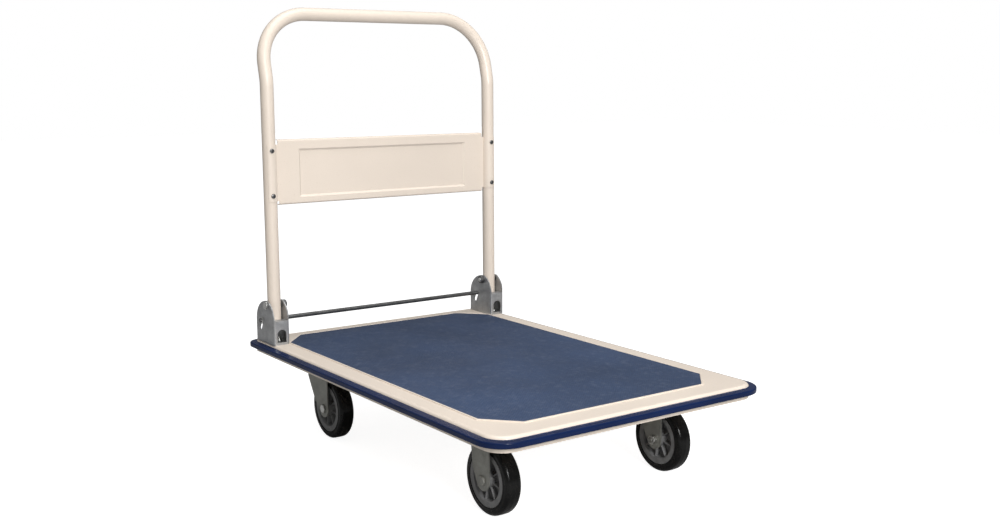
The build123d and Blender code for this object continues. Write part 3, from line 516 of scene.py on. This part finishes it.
def build_hub(mesh, node, bore):
    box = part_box(node)
    place = aim(middle_of(box), Y)
    outer = (box[1].z - box[0].z) / 2
    boss = (box[1].y - box[0].y) / 2
    half = boss - 4 * MM
    lip, throat, foot = RIM_INNER + 1.5 * MM, RIM_INNER - 0.6 * MM, BOSS_RADIUS + 1.2 * MM
    face = [
        (lip, half, 1.0 * MM), (RIM_INNER, half - 5 * MM, HUB_ROUND), (throat, HUB_WEB_HALF, HUB_ROUND),
        (foot, HUB_WEB_HALF, HUB_ROUND), (BOSS_RADIUS, boss, 1.0 * MM), (bore, boss, 0.4 * MM),
    ]
    mirrored = [(radius, -height, edge) for radius, height, edge in reversed(face)]
    rim = rounded([(outer, -half, 0.8 * MM), (outer, half, 0.8 * MM), *face, *mirrored])
    lathe(mesh, place, rim, closed=True)
    for index in range(HUB_RIBS):
        turn = math.tau * (index + 0.25) / HUB_RIBS
        add_rib(mesh, place, turn, BOSS_RADIUS - 1 * MM, RIM_INNER + 1 * MM, half - 3 * MM, RIB_THICKNESS)


def build_ring(mesh, node, bore, edge):
    """Plain turned ring along Y with rounded edges."""
    for box in solids_of(node):
        radius = (box[1].z - box[0].z) / 2
        half = (box[1].y - box[0].y) / 2
        corners = [(bore, -half), (radius, -half), (radius, half), (bore, half)]
        outline = rounded([(*corner, edge) for corner in corners])
        lathe(mesh, aim(middle_of(box), Y), outline, closed=True, count=64)


def wheel_pieces(side, end):
    body = f"{side}_{end}_wheel"
    tyre, hub, bearing = (f"{side}_{end}_{part}" for part in ("tyre", "hub", "bearing"))
    bearing_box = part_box(bearing)
    bearing_radius = (bearing_box[1].z - bearing_box[0].z) / 2
    add_piece(tyre + "_skin", body, "tyre", [tyre], lambda mesh: build_tyre(mesh, tyre))
    add_piece(hub + "_casting", body, "hub", [hub], lambda mesh: build_hub(mesh, hub, bearing_radius))
    bore = bearing_radius - BEARING_WALL
    add_piece(bearing + "_race", body, "black_plastic", [bearing],
              lambda mesh: build_ring(mesh, bearing, bore, 0.4 * MM))


# ---- fasteners
def bolts_along(node, across_axis, head_low, head, radius, pitch, plain_share=0.0):
    """Builder of bolts in the boxes of a node's solids; head_low says which end of the box a head is at."""
    def build(mesh):
        for box in solids_of(node):
            sizes = box[1] - box[0]
            at_low = head_low(box)
            axis = [X, Y, Z][across_axis]
            middle = middle_of(box)
            reach = sizes[across_axis] / 2
            direction = axis if at_low else -axis
            origin = middle - direction * (reach - head)
            widths = [sizes[i] for i in range(3) if i != across_axis]
            length = 2 * reach - head
            plain = length * plain_share
            add_bolt(mesh, aim(origin, direction), min(widths), head, radius, pitch, length, plain)
    return build


def nuts_along(node, across_axis, bore, outward):
    """Builder of nuts in the boxes of a node's solids; outward gives the direction of the open end."""
    def build(mesh):
        for box in solids_of(node):
            sizes = box[1] - box[0]
            direction = outward(box)
            origin = middle_of(box) - direction * sizes[across_axis] / 2
            widths = [sizes[i] for i in range(3) if i != across_axis]
            add_hexagon(mesh, aim(origin, direction), min(widths), sizes[across_axis], bore)
    return build


def on_right(box):
    return middle_of(box).y < 0


def inboard(box):
    return Y if on_right(box) else -Y


def upward(box):
    return Z


def fastener_pieces():
    m8_bore, m10_bore = M8_RADIUS + NUT_CLEARANCE, M10_RADIUS + NUT_CLEARANCE
    for node in ("bracket_bolts", "caster_mount_bolts"):
        build = bolts_along(node, 2, lambda box: True, M8_HEAD, M8_RADIUS, M8_PITCH)
        add_piece(node + "_threaded", "base", "bright_steel", [node], build)
    for node in ("bracket_nuts", "caster_mount_nuts"):
        build = nuts_along(node, 2, m8_bore, upward)
        add_piece(node + "_chamfered", "base", "bright_steel", [node], build)
    for node, slot in (("pivot_bolts", "bright_steel"), ("front_axle_bolts", "caster_steel")):
        build = bolts_along(node, 1, on_right, M10_HEAD, M10_RADIUS, M10_PITCH, PLAIN_SHANK_SHARE)
        add_piece(node + "_threaded", "base", slot, [node], build)
    for node, slot in (("pivot_nuts", "dark_steel"), ("front_axle_nuts", "bright_steel")):
        build = nuts_along(node, 1, m10_bore, inboard)
        add_piece(node + "_chamfered", "base", slot, [node], build)
    for side in SIDES:
        bolt_node, nut_node = f"{side}_rear_axle_bolt", f"{side}_rear_axle_nut"
        build = bolts_along(bolt_node, 1, on_right, M10_HEAD, M10_RADIUS, M10_PITCH, PLAIN_SHANK_SHARE)
        add_piece(bolt_node + "_threaded", f"{side}_swivel", "bright_steel", [bolt_node], build)
        build = nuts_along(nut_node, 1, m10_bore, inboard)
        add_piece(nut_node + "_chamfered", f"{side}_swivel", "bright_steel", [nut_node], build)


def build_screws(mesh):
    """Pan-head screws with a cross recess, pointing back into the handle's tube."""
    for box in solids_of("panel_screws"):
        middle = middle_of(box)
        radius = (box[1].y - box[0].y) / 2
        depth = box[1].x - box[0].x
        place = aim((box[1].x - SCREW_HEAD, middle.y, middle.z), X)
        rings = [circle(0, 0, 48), circle(radius, 0, 48)]
        for share in (1.0, 0.97, 0.9, 0.8, 0.68, 0.55, 0.42, 0.3, 0.18, 0.08):
            height = SCREW_HEAD * (0.35 + 0.65 * math.sqrt(1 - share**2))
            ring = []
            for x, y, _ in circle(radius * share, 0, 48):
                in_arm = min(abs(x), abs(y)) < radius * 0.11 and math.hypot(x, y) < radius * 0.6
                ring.append((x, y, height - (SCREW_HEAD * 0.45 if in_arm else 0)))
            rings.append(ring)
        add_rings(mesh, place, rings + [[(0, 0, SCREW_HEAD * 0.5)]])
        core, tip = radius * 0.5, SCREW_HEAD - depth
        lathe(mesh, place, [(0, 0), (core, 0), (core, tip), (0, tip)], count=32)


def build_clips(mesh):
    """Pressed push-on caps over the lock bar's ends: a domed ring with a flat brim."""
    for box in solids_of("lock_bar_clips"):
        radius = (box[1].z - box[0].z) / 2
        width = box[1].y - box[0].y
        direction = -inboard(box)
        origin = middle_of(box) - direction * width / 2
        outline = rounded([
            (LOCK_BAR_RADIUS, 0, 0), (radius, 0, 0.15 * MM), (radius, 0.5 * MM, 0.15 * MM),
            (radius - 1.3 * MM, 0.6 * MM, 0.3 * MM), (LOCK_BAR_RADIUS + 0.4 * MM, width, 0.15 * MM),
            (LOCK_BAR_RADIUS, width, 0),
        ])
        lathe(mesh, aim(origin, direction), outline, closed=True, count=64)


# ---- springs
def build_spring(mesh, node, up):
    """Compression spring with closed ends along the lock bar's slot."""
    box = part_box(node)
    outer = (box[1].y - box[0].y) / 2
    length = (box[1].z - box[0].z - 2 * outer * abs(up.x)) / up.z
    place = aim(middle_of(box) - up * length / 2, up)
    coil = outer - SPRING_WIRE
    steps = round(SPRING_TURNS * SPRING_TURN_STEPS)
    dead = SPRING_DEAD_TURNS / SPRING_TURNS
    closed_rise = 2 * SPRING_WIRE * 1.02 * SPRING_DEAD_TURNS
    free = length - 2 * SPRING_WIRE - 2 * closed_rise
    rings = []
    for step in range(steps + 1):
        share = step / steps
        if share < dead:
            height = closed_rise * share / dead
        elif share > 1 - dead:
            height = length - 2 * SPRING_WIRE - closed_rise * (1 - share) / dead
        else:
            height = closed_rise + free * (share - dead) / (1 - 2 * dead)
        turn = math.tau * SPRING_TURNS * share
        outward = Vector((math.cos(turn), math.sin(turn), 0))
        centre = outward * coil + Z * (height + SPRING_WIRE)
        ring = []
        for index in range(WIRE_SIDES):
            angle = math.tau * index / WIRE_SIDES
            ring.append(centre + (outward * math.cos(angle) + Z * math.sin(angle)) * SPRING_WIRE)
        rings.append(ring)
    made = add_rings(mesh, place, rings)
    mesh.faces.new(made[0])
    mesh.faces.new(made[-1])
    return place.translation, length


def spring_pieces():
    joint = next(joint for joint in frame["joints"] if joint["name"] == "lock_bar_press")
    up = -Vector(joint["axis"]).normalized()
    for side in SIDES:
        node = f"{side}_lock_spring"
        facts = []
        piece = add_piece(node + "_coil", "base", "spring_steel", [node],
                          lambda mesh: facts.extend(build_spring(mesh, node, up)), smooth=60)
        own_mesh(piece)


# ---- swivel bearings
def build_ball_race(mesh, node):
    """Two pressed rings with a circle of balls between them."""
    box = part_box(node)
    place = aim((*middle_of(box).xy, box[0].z), Z)
    radius = (box[1].x - box[0].x) / 2
    height = box[1].z - box[0].z
    for low in (0, height - RACE_LIP):
        top = low + RACE_LIP
        outline = rounded([
            (RACE_INNER, low, 0.3 * MM), (radius, low, 0.5 * MM),
            (radius, top, 0.5 * MM), (RACE_INNER, top, 0.3 * MM),
        ])
        lathe(mesh, place, outline, closed=True)
    ball = (height - 2 * RACE_LIP) / 2
    track = radius - ball - 1.2 * MM
    count = int(math.tau * track / (2.2 * ball))
    for index in range(count):
        turn = math.tau * index / count
        centre = place @ Vector((track * math.cos(turn), track * math.sin(turn), height / 2))
        bmesh.ops.create_icosphere(mesh, subdivisions=2, radius=ball, matrix=Matrix.Translation(centre))


finish_cad_nodes()
add_piece("mat_sheet", "base", "mat", ["deck_mat"], build_mat, smooth=30)
for wheel_side in SIDES:
    for wheel_end in ("front", "rear"):
        wheel_pieces(wheel_side, wheel_end)
    race_node = f"{wheel_side}_swivel_bearing"
    add_piece(race_node + "_balls", "base", "bright_steel", [race_node],
              lambda mesh: build_ball_race(mesh, race_node))
fastener_pieces()
add_piece("panel_screws_pan_head", "handle", "dark_steel", ["panel_screws"], build_screws)
add_piece("lock_bar_clips_pressed", "lock_bar", "bright_steel", ["lock_bar_clips"], build_clips)
spring_pieces()


# ---- stage, light and camera
def make_floor():
    """Pale studio floor, a little brighter to the camera than it is as a bounce."""
    mesh = bpy.data.meshes.new("floor")
    corners = [(-1, -1), (1, -1), (1, 1), (-1, 1)]
    mesh.from_pydata([(x * FLOOR_HALF_SIZE, y * FLOOR_HALF_SIZE, 0) for x, y in corners], [], [(0, 1, 2, 3)])
    floor = bpy.data.objects.new("floor", mesh)
    bpy.context.scene.collection.objects.link(floor)
    material = bpy.data.materials.new("floor_white")
    material.use_nodes = True
    shader = material.node_tree.nodes["Principled BSDF"]
    shader.inputs["Base Color"].default_value = (0.5, 0.5, 0.5, 1)
    shader.inputs["Roughness"].default_value = 0.9
    shader.inputs["Emission Color"].default_value = (1, 1, 1, 1)
    light = material.node_tree.nodes.new("ShaderNodeLightPath")
    boost = material.node_tree.nodes.new("ShaderNodeMath")
    boost.operation = "MULTIPLY"
    boost.inputs[1].default_value = FLOOR_CAMERA_BOOST
    material.node_tree.links.new(light.outputs["Is Camera Ray"], boost.inputs[0])
    material.node_tree.links.new(boost.outputs[0], shader.inputs["Emission Strength"])
    mesh.materials.append(material)


def make_world():
    """White to the camera; for the light, bright overhead and dim near the ground."""
    world = bpy.data.worlds.new("studio")
    world.use_nodes = True
    tree = world.node_tree
    background = tree.nodes["Background"]
    background.inputs["Color"].default_value = (1, 1, 1, 1)
    place = tree.nodes.new("ShaderNodeTexCoord")
    parts = tree.nodes.new("ShaderNodeSeparateXYZ")
    tree.links.new(place.outputs["Generated"], parts.inputs["Vector"])
    sky = tree.nodes.new("ShaderNodeMapRange")
    sky.inputs["From Min"].default_value = -0.2
    sky.inputs["From Max"].default_value = 0.9
    sky.inputs["To Min"].default_value = SKY_LOW
    sky.inputs["To Max"].default_value = SKY_HIGH
    tree.links.new(parts.outputs["Z"], sky.inputs["Value"])
    light = tree.nodes.new("ShaderNodeLightPath")
    strength = tree.nodes.new("ShaderNodeMix")
    tree.links.new(light.outputs["Is Camera Ray"], strength.inputs["Factor"])
    tree.links.new(sky.outputs["Result"], strength.inputs["A"])
    strength.inputs["B"].default_value = 1.0
    tree.links.new(strength.outputs["Result"], background.inputs["Strength"])
    bpy.context.scene.world = world


def add_softbox(name, place, target, size, watts):
    data = bpy.data.lights.new(name, "AREA")
    data.shape = "RECTANGLE"
    data.size, data.size_y = size
    data.energy = watts
    lamp = bpy.data.objects.new(name, data)
    bpy.context.scene.collection.objects.link(lamp)
    lamp.location = place
    direction = Vector(target) - Vector(place)
    lamp.rotation_euler = direction.to_track_quat("-Z", "Y").to_euler()


def make_lights():
    add_softbox("key", (3.2, -0.8, 1.8), (0, 0, 0.4), (0.7, 1.5), KEY_WATTS)
    add_softbox("overhead", (0.5, 0.0, 3.2), (0, 0, 0.2), (2.0, 2.0), OVERHEAD_WATTS)


def make_camera():
    data = bpy.data.cameras.new("camera")
    data.sensor_width = 36.0
    data.lens = CAMERA_LENS
    data.clip_end = 50.0
    camera = bpy.data.objects.new("camera", data)
    camera.location = CAMERA_PLACE
    camera.rotation_euler = (math.radians(90 - CAMERA_DOWN), 0, math.radians(CAMERA_TURN))
    bpy.context.scene.collection.objects.link(camera)
    bpy.context.scene.camera = camera


make_floor()
make_world()
make_lights()
make_camera()
bpy.context.scene.view_settings.view_transform = "Standard"
